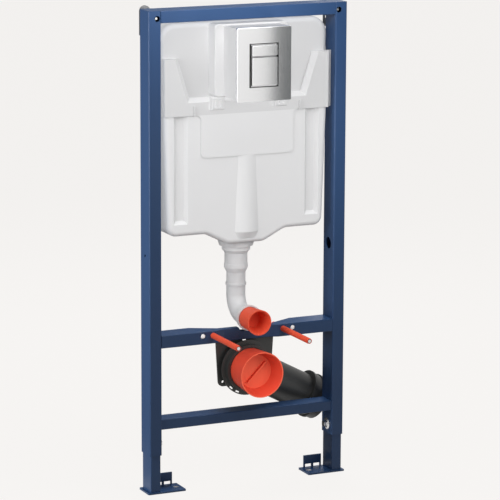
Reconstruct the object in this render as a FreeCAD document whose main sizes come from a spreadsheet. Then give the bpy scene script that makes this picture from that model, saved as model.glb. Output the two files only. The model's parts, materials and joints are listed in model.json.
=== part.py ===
"""Wall hung toilet frame: a steel in-wall frame with its cistern, flush pipe and waste bend.

X runs to the right, Y to the back and Z up. The origin lies on the left leg's axis, on the
underside of its foot plate, so Y is zero half-way through the depth of the uprights.
"""
import FreeCAD, Part
import math
import os
import re
import Sketcher
from FreeCAD import Placement, Rotation, Vector

SIZES = [
    # steel frame
    ("leg_spacing", 470, "between the axes of the two legs"),
    ("frame_height", 1130, "floor to the top of the frame"),
    ("upright_width", 30, "outside width of an upright"),
    ("upright_depth", 54, "outside depth of an upright"),
    ("tube_wall", 2, "wall of the steel tubes"),
    ("edge_radius", 3, "rounded long edges of the uprights"),
    ("upright_bottom", 92, "floor to the open lower end of an upright"),
    ("top_rail_height", 28.5, "height of the top rail"),
    ("fixing_rail_bottom", 347, "floor to the underside of the fixing rail"),
    ("fixing_rail_height", 30, "height of the fixing rail"),
    ("fixing_rail_rise", 19, "underside of the fixing rail to its studs"),
    ("pressed_half", 58, "half the length of the pressed middle of the fixing rail"),
    ("pressed_slope", 20, "length over which its front is pressed back"),
    ("pressed_front", 8, "how far its front is pressed back"),
    ("pressed_depth", 16, "depth of its pressed middle"),
    ("pressed_back_half", 70, "half the length of the flat middle of its back"),
    ("pressed_back_slope", 60, "length over which its back is pressed forwards"),
    ("rail_edge", 2, "rounded long edges of the rails"),
    ("notch_half", 21, "half the width of the notch in its top"),
    ("notch_slope", 5, "how far each side of that notch leans"),
    ("notch_drop", 9, "depth of that notch"),
    ("spare_hole_spacing", 230, "between the spare stud holes"),
    ("spare_hole_diameter", 13, "spare stud holes"),
    ("lower_rail_bottom", 152, "floor to the underside of the lower rail"),
    ("lower_rail_height", 24, "height of the lower rail"),
    ("lower_rail_depth", 46, "depth of the lower rail"),
    ("service_hole_diameter", 28, "round hole in the inner side of an upright"),
    ("service_hole_height", 556, "floor to that hole"),
    ("side_hole_diameter", 7, "small hole in the outer side of an upright"),
    ("side_hole_height", 564, "floor to that hole"),
    # telescoping legs and feet
    ("leg_clearance", 0.5, "between a leg and the inside of its upright"),
    ("leg_travel", 200, "how far an upright can rise on its leg"),
    ("leg_overlap", 110, "leg left inside the upright at full height"),
    ("foot_length", 95, "length of a foot plate"),
    ("foot_depth", 58, "depth of a foot plate"),
    ("leg_edge", 2, "rounded long edges of the legs"),
    ("foot_thickness", 4, "thickness of a foot plate"),
    ("foot_margin", 7, "foot plate outside the leg"),
    ("foot_corner", 3, "rounded corners of a foot plate"),
    ("foot_hole_diameter", 12, "floor bolt hole"),
    ("foot_hole_inset", 14, "floor bolt hole to the end of the plate"),
    ("tab_inset", 4, "leg to the near end of the upright tab"),
    ("tab_length", 46, "length of the upright tab"),
    ("tab_height", 29, "height of the upright tab"),
    ("tab_thickness", 4, "thickness of the upright tab"),
    ("slot_length", 17, "slots at the foot of the tab"),
    ("slot_width", 8, "width of those slots"),
    ("slot_spacing", 22, "between the centres of those slots"),
    ("bolt_height", 115, "floor to the leg clamp bolt"),
    ("bolt_diameter", 8, "shank of the leg clamp bolt"),
    ("bolt_head_diameter", 15, "head of the leg clamp bolt"),
    ("bolt_head_length", 7, "length of that head"),
    ("washer_diameter", 28, "washer of the leg clamp bolt"),
    ("washer_thickness", 2.5, "thickness of that washer"),
    ("washer_bevel", 4, "slanted rim of that washer"),
    ("part_gap", 0.3, "gap where one piece only rests near another"),
    # wall brackets
    ("wall_screw_inset", 21, "outer side of the frame to the wall screw"),
    ("wall_screw_drop", 18, "top of the frame to the wall screw"),
    ("wall_screw_diameter", 8, "shank of the wall screw"),
    ("wall_screw_head", 9, "head of the wall screw"),
    ("head_length", 6, "length of that head"),
    ("head_depth", 7, "head behind the front of the upright"),
    ("corner_hole_diameter", 13.5, "access hole in front of the screw"),
    ("bracket_reach", 22, "wall bracket behind the upright"),
    ("bracket_width", 26, "rounded head of a wall bracket"),
    ("bracket_rise", 10, "wall screw to the middle of that head"),
    ("tongue_width", 18, "width of its tongue below the head"),
    ("tongue_shift", 4, "wall screw to the middle of the tongue, outwards"),
    ("bracket_thickness", 4, "sheet of a wall bracket"),
    ("bracket_drop", 45, "wall screw to the underside of the bracket"),
    ("anchor_hole_diameter", 9, "wall anchor hole in the bracket"),
    ("anchor_drop", 24, "wall screw to the anchor hole"),
    # cistern
    ("cistern_setback", 26, "front of the frame to the front of the tank"),
    ("cistern_depth", 84, "depth of the tank"),
    ("tank_top_gap", 5.5, "underside of the top rail to the top of the tank"),
    ("tank_side_gap", 6, "upright to the side of the tank at its top"),
    ("tank_taper", 17, "how far each side of the tank leans in to its bottom"),
    ("cistern_bottom", 604, "floor to the flat bottom"),
    ("funnel_top_half", 101, "half the width of the funnel at the flat bottom"),
    ("funnel_low_half", 46, "half the width of the funnel at its end"),
    ("funnel_low", 576, "floor to the end of the funnel"),
    ("funnel_radius", 36, "soft bends of the funnel's outline"),
    ("tank_wall", 5, "wall of the tank"),
    ("tank_corner", 40, "rounded top corners of the tank"),
    ("tank_foot_corner", 22, "rounded bottom corners of the tank and cover"),
    ("tank_edge", 12, "rounded front and back edges of the tank"),
    ("cover_thickness", 14, "insulating cover in front of the tank"),
    ("cover_edge", 11, "rounded front edges of the cover"),
    ("cover_drop", 80, "top of the tank to the top of the cover's ears"),
    ("ear_width", 48.5, "width of an ear at its top"),
    ("ear_slope", 29, "how much wider an ear is at its foot"),
    ("ear_height", 92, "height of the ears"),
    ("ear_raise", 2.5, "ears and label pad in front of the cover"),
    ("ear_chamfer", 10, "slanted rim between the ears"),
    ("ear_rebate", 12, "width of the lower rim along the outer end of an ear"),
    ("ear_rebate_depth", 12.5, "depth of that rim behind the front of the ear"),
    ("step_drop", 40, "foot of the ears to the step below them"),
    ("rib_spacing", 268, "between the short ribs above the step"),
    ("rib_width", 3, "width of those ribs"),
    ("rib_height", 22, "height of those ribs"),
    ("rib_raise", 4, "those ribs in front of the ears"),
    ("pad_half", 117, "half the width of the label pad"),
    ("pad_height", 100, "height of the label pad"),
    ("pad_corner", 12, "rounded corners of the label pad"),
    ("channel_inner", 149, "middle of the cover to the near side of a channel"),
    ("channel_width", 35, "width of the upright channels in the cover"),
    ("channel_depth", 8, "depth of those channels"),
    ("channel_draft", 8, "how far their sides lean"),
    ("channel_foot", 632, "floor to the foot of the channels"),
    ("bulge_top_half", 22, "half the width of the upright bulge below the pad"),
    ("bulge_top_raise", 3, "bulge in front of the cover below the pad"),
    ("bulge_low_half", 30, "half the width of the bulge near its foot"),
    ("bulge_low_raise", 10, "bulge in front of the cover near its foot"),
    ("bulge_low", 604, "floor to where the bulge is deepest"),
    ("bulge_foot_raise", 1, "bulge in front of the cover at its foot"),
    ("bulge_sink", 5, "foot of the bulge inside the cover"),
    ("bulge_foot", 588, "floor to the foot of the bulge"),
    # flush plate
    ("base_half", 92, "half the width of the housing's base on the tank"),
    ("base_drop", 2, "top of the tank to the top of that base"),
    ("base_height", 168, "height of that base"),
    ("base_depth", 37, "depth of that base"),
    ("base_corner", 9, "rounded corners of that base"),
    ("base_edge", 3, "rounded front edges of that base"),
    ("shaft_half", 70, "half the width of the shaft on the base"),
    ("shaft_margin", 4, "shaft inside the top and bottom of the base"),
    ("shaft_gap", 2, "edge of the flush plate to the shaft behind it"),
    ("housing_wall", 4, "wall of the housing"),
    ("plate_reach", 74, "front of the frame to the back of the flush plate"),
    ("plate_width", 136, "width of the flush plate"),
    ("plate_height", 171, "height of the flush plate"),
    ("plate_thickness", 8, "thickness of the flush plate"),
    ("plate_drop", 123, "top of the frame to the middle of the flush plate"),
    ("plate_corner", 4, "rounded corners of the flush plate"),
    ("plate_edge", 1.5, "rounded front edges of the flush plate"),
    ("button_width", 67, "width of the button opening"),
    ("small_button_height", 28, "height of the part flush button's opening"),
    ("large_button_height", 68, "height of the full flush button's opening"),
    ("buttons_rise", 46, "middle of the plate to the top of the buttons"),
    ("button_gap", 2.2, "gap between a button and the plate"),
    ("button_split", 1, "half the gap between the buttons"),
    ("button_proud", 2.5, "button in front of the plate"),
    ("button_edge", 0.8, "rounded front edges of a button"),
    ("button_lip", 5, "lip behind the plate that keeps a button in"),
    ("button_lip_gap", 0.8, "between that lip and the plate"),
    ("button_lip_depth", 4, "thickness of that lip"),
    ("clip_spacing", 160, "between the middles of the housing clips"),
    ("clip_width", 32, "width of a housing clip"),
    ("clip_height", 30, "height of a housing clip"),
    ("clip_depth", 14, "depth of a housing clip"),
    ("clip_edge", 3, "rounded front edges of a clip"),
    ("clip_slot_width", 4, "slots in a clip"),
    ("clip_slot_height", 18, "height of those slots"),
    ("clip_slot_spacing", 12, "between those slots"),
    ("clip_slot_depth", 9, "depth of those slots"),
    # flush pipe
    ("flush_setback", 71, "front of the frame to the axis of the flush pipe"),
    ("collar_diameter", 88, "collar under the tank"),
    ("collar_taper", 4, "how far that collar narrows each side"),
    ("collar_height", 14, "height of that collar"),
    ("nut_diameter", 67, "ring below the collar"),
    ("nut_height", 10, "height of that ring"),
    ("nut_taper", 8, "height of the taper below that ring"),
    ("socket_diameter", 54, "socket of the flush pipe"),
    ("socket_height", 35, "height of that socket"),
    ("band_height", 9, "raised band at the foot of the socket"),
    ("band_raise", 1, "how far that band stands out"),
    ("socket_taper", 12, "height of the taper below the socket"),
    ("pipe_diameter", 45, "flush pipe"),
    ("pipe_wall", 2, "wall of the flush pipe"),
    ("bead_diameter", 49, "bead round the flush pipe"),
    ("bead_height", 5, "height of that bead"),
    ("bead_middle", 469, "floor to the bead"),
    ("flush_height", 401, "floor to the flush inlet of the pan"),
    ("flush_bend_radius", 44, "bend of the flush pipe at its axis"),
    ("bell_diameter", 57, "bell at the end of the flush pipe"),
    ("bell_length", 22, "length of that bell"),
    ("bell_flare", 8, "length over which the pipe widens to the bell"),
    ("bell_seat", 11, "back of the bell to the seat of its cap"),
    ("bell_setback", 16, "front of the frame to the back of the bell"),
    ("bell_mouth", 54, "inside of the bell round its cap"),
    ("bell_lip_diameter", 61, "lip round the mouth of the bell"),
    ("bell_lip", 4, "length of that lip"),
    ("flush_cap_back", 50, "back end of the cap in the flush bell"),
    ("flush_cap_rim", 60, "rim of that cap"),
    ("flush_cap_reach", 62, "front of the frame to the rim of that cap"),
    ("flush_cap_floor", 40, "floor inside that cap"),
    ("flush_cap_depth", 42, "depth of that floor"),
    ("cap_wall", 2.5, "wall of the caps"),
    ("cap_fold", 6, "rim of a cap to the hollow between its walls"),
    # waste
    ("waste_height", 280, "floor to the waste inlet"),
    ("waste_ring_diameter", 114, "clamp ring round the waste inlet"),
    ("waste_ring_length", 18, "length of that ring"),
    ("waste_ring_reach", 11, "front of the frame to the front of that ring"),
    ("waste_ring_mouth", 101, "inside of that ring round the cap"),
    ("waste_ring_seat", 6, "back of that ring to the seat of the cap"),
    ("flange_diameter", 132, "flange at the back of that ring"),
    ("flange_thickness", 4, "thickness of that flange"),
    ("flange_slot_radius", 61.5, "axis of the inlet to the slots in the flange"),
    ("flange_slot_length", 11, "length of those slots"),
    ("flange_slot_width", 3.6, "width of those slots"),
    ("flange_slot_angle", 227, "degrees round the flange to its first slot"),
    ("flange_slot_step", 18, "degrees from one slot to the next"),
    ("waste_cap_back", 97, "back end of the cap in the waste inlet"),
    ("waste_cap_rim", 108, "rim of that cap"),
    ("waste_cap_reach", 78, "front of the frame to the rim of that cap"),
    ("waste_cap_floor", 80, "floor inside that cap"),
    ("waste_cap_depth", 38, "depth of that floor"),
    ("grip_length", 66, "finger rib across the floor of the waste cap"),
    ("grip_thickness", 3, "thickness of that rib"),
    ("grip_height", 9, "height of that rib"),
    ("grip_angle", 45, "degrees by which that rib is turned"),
    ("waste_diameter", 90, "waste bend"),
    ("waste_wall", 3, "wall of the waste bend"),
    ("waste_setback", 111, "front of the frame to the axis of the waste outlet"),
    ("waste_bend_radius", 62, "bend of the waste pipe at its axis"),
    ("waste_fall", 28, "degrees by which the outlet falls to the right"),
    ("waste_reach", 268, "waste inlet's axis to the end of the outlet"),
    ("coupling_diameter", 105, "coupling round the waste outlet"),
    ("coupling_length", 30, "length of that coupling"),
    ("coupling_lip_diameter", 110, "lips of that coupling"),
    ("coupling_lip", 6, "length of each lip"),
    ("outlet_diameter", 102, "outlet beyond the coupling"),
    ("outlet_free", 18, "length of that outlet"),
    ("yoke_half", 74, "half the width of the waste bracket at the rail"),
    ("yoke_taper", 7, "how far each side of it leans in"),
    ("yoke_drop", 44, "waste inlet's axis to the lower edge of the bracket"),
    ("yoke_thickness", 5, "thickness of the waste bracket"),
    ("yoke_setback", 20, "front of the frame to the front of the bracket"),
    ("yoke_corner", 12, "rounded lower corners of the bracket"),
    ("yoke_lug_half", 56, "middle of the bracket to the holes in its corners"),
    ("yoke_lug_rise", 11, "lower edge of the bracket to those holes"),
    ("yoke_lug_hole", 7, "diameter of those holes"),
    ("yoke_notch", 14, "half-round notch in its top edge"),
    # pan studs
    ("stud_spacing", 180, "between the pan studs"),
    ("stud_diameter", 12, "threaded tips of the pan studs"),
    ("stud_shank", 10.8, "their plain shanks"),
    ("stud_reach", 142, "front of the frame to the tips of the studs"),
    ("sleeve_diameter", 13.6, "sleeves on the studs"),
    ("sleeve_short", 5, "stud that stands out of its sleeve"),
]
ALIASES = {name for name, _, _ in SIZES}

# places that several pieces share
MID = "(leg_spacing / 2)"
FRONT = "(-upright_depth / 2)"
BACK = "(upright_depth / 2)"
INNER_HALF = "(leg_spacing / 2 - upright_width / 2)"
LEG_WIDTH = "(upright_width - 2 * tube_wall - 2 * leg_clearance)"
LEG_DEPTH = "(upright_depth - 2 * tube_wall - 2 * leg_clearance)"
STUD_HEIGHT = "(fixing_rail_bottom + fixing_rail_rise)"
SCREW_HEIGHT = "(frame_height - wall_screw_drop)"
TANK_FRONT = f"({FRONT} + cistern_setback)"
TANK_TOP = "(frame_height - top_rail_height - tank_top_gap)"
TANK_TOP_HALF = f"({INNER_HALF} - tank_side_gap)"
TANK_LOW_HALF = f"({TANK_TOP_HALF} - tank_taper)"
COVER_FRONT = f"({TANK_FRONT} - cover_thickness)"
EAR_FRONT = f"({COVER_FRONT} - ear_raise)"
COVER_TOP = f"({TANK_TOP} - cover_drop)"
EAR_FOOT = f"({COVER_TOP} - ear_height)"
COVER_STEP = f"({EAR_FOOT} - step_drop)"
PAD_BOTTOM = f"({COVER_STEP} - pad_height)"
BASE_TOP = f"({TANK_TOP} - base_drop)"
BASE_BOTTOM = f"({BASE_TOP} - base_height)"
BASE_FRONT = f"({TANK_FRONT} - base_depth)"
PLATE_BACK = f"({FRONT} - plate_reach)"
PLATE_FRONT = f"({PLATE_BACK} - plate_thickness)"
PLATE_MIDDLE = "(frame_height - plate_drop)"
BUTTON_TOP = f"({PLATE_MIDDLE} + buttons_rise)"
BUTTON_SPLIT = f"({BUTTON_TOP} - small_button_height)"
BUTTON_BOTTOM = f"({BUTTON_SPLIT} - large_button_height)"
FLUSH_AXIS = f"({FRONT} + flush_setback)"
SOCKET_TOP = "(funnel_low - collar_height - nut_height - nut_taper)"
PIPE_TOP = f"({SOCKET_TOP} - socket_height - socket_taper)"

FACE_FRONT = Rotation(Vector(1, 0, 0), 90)
FACE_RIGHT = Rotation(Vector(0, 1, 0), 90)
FACE_LEFT = Rotation(Vector(0, 1, 0), -90)
LEFT, RIGHT = -1, 1
NEAR = 0.01

doc = FreeCAD.newDocument("wall_hung_toilet_frame")
sheet = doc.addObject("Spreadsheet::Sheet", "dims")
pieces = {}


def fill_sheet():
    """Write one row for each driving dimension: its name, value and meaning."""
    for row, (name, value, meaning) in enumerate(SIZES, start=1):
        sheet.set(f"A{row}", name)
        sheet.set(f"B{row}", str(value))
        sheet.set(f"C{row}", meaning)
        sheet.setAlias(f"B{row}", name)
    doc.recompute()


def formula(text):
    """The expression for a formula written with the plain names of the sheet's cells."""

    def cell(found):
        word = found.group(0)
        return f"dims.{word}" if word in ALIASES else word

    return re.sub(r"[a-z_]+", cell, str(text))


def bind(item, prop, text):
    item.setExpression(prop, formula(text))


def place(item, at, rotation=None):
    """Put an item at three formulas for X, Y and Z."""
    if rotation:
        item.Placement = Placement(Vector(), rotation)
    for axis, text in zip("xyz", at):
        bind(item, f"Placement.Base.{axis}", text)


def keep(node, item):
    """Name an item as a sub-part of the frame."""
    item.Label = node
    pieces[node] = item


def new_body(name, at=("0", "0", "0"), rotation=None):
    body = doc.addObject("PartDesign::Body", name + "_body")
    place(body, at, rotation)
    return body


def new_sketch(body, plane, offset="0"):
    sketch = body.newObject("Sketcher::SketchObject", body.Name + "_sketch")
    support = [item for item in body.Origin.OriginFeatures if item.Role == plane][0]
    sketch.AttachmentSupport = [(support, "")]
    sketch.MapMode = "FlatFace"
    bind(sketch, "AttachmentOffset.Base.z", offset)
    return sketch


def outline(sketch, points):
    """Add a closed outline, with each corner's two coordinates bound to formulas."""
    first = sketch.GeometryCount
    count = len(points)
    angles = [2 * math.pi * index / count for index in range(count)]
    ring = [Vector(math.cos(angle), math.sin(angle)) for angle in angles]
    for index in range(count):
        sketch.addGeometry(Part.LineSegment(ring[index], ring[(index + 1) % count]), False)
    for index in range(count):
        line = first + index
        following = first + (index + 1) % count
        sketch.addConstraint(Sketcher.Constraint("Coincident", line, 2, following, 1))
        fix_point(sketch, line, 1, points[index])


def fix_point(sketch, item, end, place_at):
    """Bind the two coordinates of one end of an item in a sketch to formulas."""
    drawn = sketch.getPoint(item, end)
    for kind, value, text in zip(("DistanceX", "DistanceY"), drawn, place_at):
        number = sketch.addConstraint(Sketcher.Constraint(kind, -1, 1, item, end, value))
        bind(sketch, f"Constraints[{number}]", text)


def mirrored(half):
    """A closed outline from the points of its right half, from one end to the other."""
    return half + [(f"-({x})", y) for x, y in reversed(half)]


def tilted(sketch, middle, length, width, angle):
    """Add a rectangle turned by an angle in degrees about its middle."""
    cosine, sine = f"cos({angle} * 1deg)", f"sin({angle} * 1deg)"
    corners = []
    for length_side, width_side in ((-1, -1), (1, -1), (1, 1), (-1, 1)):
        forth = f"({length_side} * {length} / 2)"
        across = f"({width_side} * {width} / 2)"
        x = f"{middle[0]} + {forth} * {cosine} - {across} * {sine}"
        y = f"{middle[1]} + {forth} * {sine} + {across} * {cosine}"
        corners.append((x, y))
    outline(sketch, corners)


def rectangle(sketch, low, high):
    outline(sketch, [low, (high[0], low[1]), high, (low[0], high[1])])


def circle(sketch, middle, diameter):
    """Add a circle with its centre and diameter bound to formulas."""
    number = sketch.addGeometry(Part.Circle(Vector(), Vector(0, 0, 1), 1.0), False)
    fix_point(sketch, number, 3, middle)
    constraint = sketch.addConstraint(Sketcher.Constraint("Diameter", number, 1.0))
    bind(sketch, f"Constraints[{constraint}]", diameter)


def arch(sketch, half, rise, base, sink):
    """Add an arch that rises towards the front, on a foot that is sunk behind its base."""
    span, height = float(getattr(sheet, half)), float(getattr(sheet, rise))
    bow = Part.Arc(Vector(-span, 0), Vector(0, -height), Vector(span, 0))
    arc = sketch.addGeometry(bow, False)
    corners = [Vector(span, 0), Vector(span, 1), Vector(-span, 1), Vector(-span, 0)]
    lines = [sketch.addGeometry(Part.LineSegment(a, b), False) for a, b in zip(corners, corners[1:])]
    joints = [(arc, 2), (lines[0], 1), (lines[0], 2), (lines[1], 1), (lines[1], 2), (lines[2], 1)]
    joints += [(lines[2], 2), (arc, 1)]
    for (first, first_end), (second, second_end) in zip(joints[::2], joints[1::2]):
        sketch.addConstraint(Sketcher.Constraint("Coincident", first, first_end, second, second_end))
    fix_point(sketch, arc, 1, (f"-{half}", base))
    fix_point(sketch, arc, 2, (half, base))
    fix_point(sketch, lines[0], 2, (half, f"{base} + {sink}"))
    fix_point(sketch, lines[1], 2, (f"-{half}", f"{base} + {sink}"))
    bow_radius = (span**2 + height**2) / (2 * height)
    radius = sketch.addConstraint(Sketcher.Constraint("Radius", arc, bow_radius))
    bind(sketch, f"Constraints[{radius}]", f"({half} ^ 2 + {rise} ^ 2) / (2 * {rise})")


def pad(body, sketch, length, backwards=False):
    feature = body.newObject("PartDesign::Pad", body.Name + "_pad")
    feature.Profile = sketch
    feature.Reversed = backwards
    bind(feature, "Length", length)
    doc.recompute()
    return feature


def pocket(body, sketch, length, backwards=False):
    """Cut a sketch into a body, and make sure that it took something away."""
    before = body.Shape.Volume
    feature = body.newObject("PartDesign::Pocket", body.Name + "_pocket")
    feature.Profile = sketch
    feature.Reversed = backwards
    bind(feature, "Length", length)
    doc.recompute()
    if not body.Shape.Volume < before:
        raise RuntimeError(f"{body.Name}: a pocket cuts nothing")
    return feature


def soften(body, kind, prop, size, wanted):
    """Treat the edges of a body that a test picks."""
    base = body.Tip
    names = [f"Edge{i}" for i, edge in enumerate(base.Shape.Edges, start=1) if wanted(edge)]
    feature = body.newObject(f"PartDesign::{kind}", f"{body.Name}_{kind.lower()}")
    feature.Base = (base, names)
    bind(feature, prop, size)
    doc.recompute()


def fillet(body, radius, wanted):
    soften(body, "Fillet", "Radius", radius, wanted)


def chamfer(body, size, wanted):
    soften(body, "Chamfer", "Size", size, wanted)


def loft(body, kind, sketches):
    """Add or take away a straight loft through two or more sketches."""
    before = body.Shape.Volume
    feature = body.newObject(f"PartDesign::{kind}", body.Name + "_loft")
    feature.Profile = sketches[0]
    feature.Sections = sketches[1:]
    feature.Ruled = True
    doc.recompute()
    if abs(body.Shape.Volume - before) < NEAR:
        raise RuntimeError(f"{body.Name}: a loft changes nothing")


def at_front(body):
    """A test for the edges in the foremost plane of a body."""
    front = body.Tip.Shape.BoundBox.YMin
    return lambda edge: abs(edge.CenterOfMass.y - front) < NEAR


def along(edge, axis):
    """True for a straight edge that runs along an axis, such as "z"."""
    if not isinstance(edge.Curve, Part.Line):
        return False
    return abs(getattr(edge.Curve.Direction, axis)) > 1 - NEAR


def turned(node, points, at, rotation=None):
    """A solid of revolution: points give radius and height along the piece's own axis."""
    body = new_body(node, at, rotation)
    sketch = new_sketch(body, "XZ_Plane")
    outline(sketch, points)
    feature = body.newObject("PartDesign::Revolution", node + "_turn")
    feature.Profile = sketch
    feature.ReferenceAxis = (sketch, ["V_Axis"])
    feature.Angle = 360
    doc.recompute()
    keep(node, body)
    return body


def rod(name, diameter, length, at, rotation=None):
    cylinder = doc.addObject("Part::Cylinder", name)
    bind(cylinder, "Radius", f"({diameter}) / 2")
    bind(cylinder, "Height", length)
    place(cylinder, at, rotation)
    return cylinder


def elbow(name, bend_radius, diameter, at, rotation):
    """A quarter of a ring."""
    torus = doc.addObject("Part::Torus", name)
    bind(torus, "Radius1", bend_radius)
    bind(torus, "Radius2", f"({diameter}) / 2")
    torus.Angle3 = 90
    place(torus, at, rotation)
    return torus


def fuse(name, items):
    result = doc.addObject("Part::MultiFuse", name)
    result.Shapes = items
    result.Refine = True
    return result


def cut(name, base, tool):
    result = doc.addObject("Part::Cut", name)
    result.Base = base
    result.Tool = tool
    return result


def side_x(side):
    """X of the upright on one side."""
    return "0" if side == LEFT else "leg_spacing"


def screw_x(side):
    """X of the wall screw on one side."""
    return f"{side_x(side)} + {side} * (upright_width / 2 - wall_screw_inset)"


def upright_tube(body, start, section, edge, length, bore_length):
    """An upright tube with rounded edges, bored from its lower end."""
    half_width, half_depth = (f"({size} / 2)" for size in section)
    sketch = new_sketch(body, "XY_Plane", start)
    rectangle(sketch, (f"-{half_width}", f"-{half_depth}"), (half_width, half_depth))
    pad(body, sketch, length)
    fillet(body, edge, lambda item: along(item, "z"))
    bore_width, bore_depth = f"({half_width} - tube_wall)", f"({half_depth} - tube_wall)"
    bore = new_sketch(body, "XY_Plane", start)
    rectangle(bore, (f"-{bore_width}", f"-{bore_depth}"), (bore_width, bore_depth))
    pocket(body, bore, bore_length, backwards=True)


def upright(node, side):
    """A tube with a closed top, an open foot, and holes in its sides, front and back."""
    body = new_body(node, (side_x(side), "0", "0"))
    length = "(frame_height - upright_bottom)"
    section = ("upright_width", "upright_depth")
    upright_tube(body, "upright_bottom", section, "edge_radius", length, f"{length} - tube_wall")
    inner = new_sketch(body, "YZ_Plane")
    circle(inner, ("0", "service_hole_height"), "service_hole_diameter")
    circle(inner, ("0", "bolt_height"), "bolt_diameter + 2 * part_gap")
    pocket(body, inner, "upright_width", backwards=side == LEFT)
    outer = new_sketch(body, "YZ_Plane")
    circle(outer, ("0", "side_hole_height"), "side_hole_diameter")
    pocket(body, outer, "upright_width", backwards=side == RIGHT)
    hole_x = f"{side} * (upright_width / 2 - wall_screw_inset)"
    access = new_sketch(body, "XZ_Plane")
    circle(access, (hole_x, SCREW_HEIGHT), "corner_hole_diameter")
    pocket(body, access, "upright_depth", backwards=True)
    rear = new_sketch(body, "XZ_Plane")
    circle(rear, (hole_x, SCREW_HEIGHT), "wall_screw_diameter + 2 * part_gap")
    pocket(body, rear, "upright_depth")
    keep(node, body)


def cross_tube(node, bottom, height, depth):
    """A tube with rounded edges between the inner sides of the uprights."""
    body = new_body(node, (MID, "0", bottom))
    length = f"2 * {INNER_HALF}"
    half = f"({depth} / 2)"
    inside = f"({half} - tube_wall)"
    sketch = new_sketch(body, "YZ_Plane", f"-{INNER_HALF}")
    rectangle(sketch, (f"-{half}", "0"), (half, height))
    pad(body, sketch, length)
    fillet(body, "rail_edge", lambda edge: along(edge, "x"))
    bore = new_sketch(body, "YZ_Plane", f"-{INNER_HALF}")
    rectangle(bore, (f"-{inside}", "tube_wall"), (inside, f"{height} - tube_wall"))
    pocket(body, bore, length, backwards=True)
    keep(node, body)


def pressed_outline(sketch, inset):
    """The fixing rail from above: full depth at its ends and pressed flat in the middle."""
    front = f"({FRONT} + {inset})"
    back = f"({BACK} - {inset})"
    half = [
        ("pressed_half", f"({front} + pressed_front)"),
        ("(pressed_half + pressed_slope)", front),
        (INNER_HALF, front),
        (INNER_HALF, back),
        ("(pressed_back_half + pressed_back_slope)", back),
        ("pressed_back_half", f"({FRONT} + pressed_front + pressed_depth - {inset})"),
    ]
    outline(sketch, mirrored(half))


def fixing_rail(node):
    """The rail that carries the pan studs, with a notch under the flush pipe."""
    body = new_body(node, (MID, "0", "fixing_rail_bottom"))
    sketch = new_sketch(body, "XY_Plane")
    pressed_outline(sketch, "0")
    pad(body, sketch, "fixing_rail_height")
    fillet(body, "rail_edge", lambda edge: not along(edge, "z") and not along(edge, "y"))
    hollow = new_sketch(body, "XY_Plane", "tube_wall")
    pressed_outline(hollow, "tube_wall")
    pocket(body, hollow, "fixing_rail_height - 2 * tube_wall", backwards=True)
    notch = new_sketch(body, "XZ_Plane", "-upright_depth")
    top, notch_foot = "fixing_rail_height", "(fixing_rail_height - notch_drop)"
    outline(notch, mirrored([("notch_half", top), ("(notch_half - notch_slope)", notch_foot)]))
    pocket(body, notch, "2 * upright_depth", backwards=True)
    holes = new_sketch(body, "XZ_Plane", "-upright_depth")
    for side in (LEFT, RIGHT):
        circle(holes, (f"{side} * spare_hole_spacing / 2", "fixing_rail_rise"), "spare_hole_diameter")
        circle(holes, (f"{side} * stud_spacing / 2", "fixing_rail_rise"), "stud_shank")
    pocket(body, holes, "2 * upright_depth", backwards=True)
    keep(node, body)


def leg(node, side):
    """The inner tube that slides in an upright and stands on a foot plate."""
    body = new_body(node, (side_x(side), "0", "0"))
    length = "(upright_bottom + leg_travel + leg_overlap - foot_thickness)"
    upright_tube(body, "foot_thickness", (LEG_WIDTH, LEG_DEPTH), "leg_edge", length, length)
    keep(node, body)


def foot(node, side):
    """A floor plate that points inwards, with a slotted tab at its back."""
    body = new_body(node, (side_x(side), "0", "0"))
    inward = -side
    outer = f"({inward} * -({LEG_WIDTH} / 2 + foot_margin))"
    inner = f"({inward} * (foot_length - {LEG_WIDTH} / 2 - foot_margin))"
    low_x, high_x = (outer, inner) if side == LEFT else (inner, outer)
    plate = new_sketch(body, "XY_Plane")
    rectangle(plate, (low_x, "-foot_depth / 2"), (high_x, "foot_depth / 2"))
    hole_x = f"({inward} * (foot_length - {LEG_WIDTH} / 2 - foot_margin - foot_hole_inset))"
    circle(plate, (hole_x, "0"), "foot_hole_diameter")
    pad(body, plate, "foot_thickness")
    fillet(body, "foot_corner", lambda edge: along(edge, "z"))
    tab = new_sketch(body, "XY_Plane", "foot_thickness")
    start = f"({inward} * ({LEG_WIDTH} / 2 + tab_inset))"
    end = f"({inward} * ({LEG_WIDTH} / 2 + tab_inset + tab_length))"
    tab_low, tab_high = (start, end) if side == LEFT else (end, start)
    rectangle(tab, (tab_low, "foot_depth / 2 - tab_thickness"), (tab_high, "foot_depth / 2"))
    pad(body, tab, "tab_height")
    slots = new_sketch(body, "XZ_Plane", "-foot_depth")
    slot_low = "foot_thickness"
    for offset in ("-slot_spacing / 2", "slot_spacing / 2"):
        middle = f"({inward} * ({LEG_WIDTH} / 2 + tab_inset + tab_length / 2) + {offset})"
        rectangle(
            slots,
            (f"{middle} - slot_length / 2", slot_low),
            (f"{middle} + slot_length / 2", f"{slot_low} + slot_width"),
        )
    pocket(body, slots, "2 * foot_depth", backwards=True)
    keep(node, body)


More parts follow.
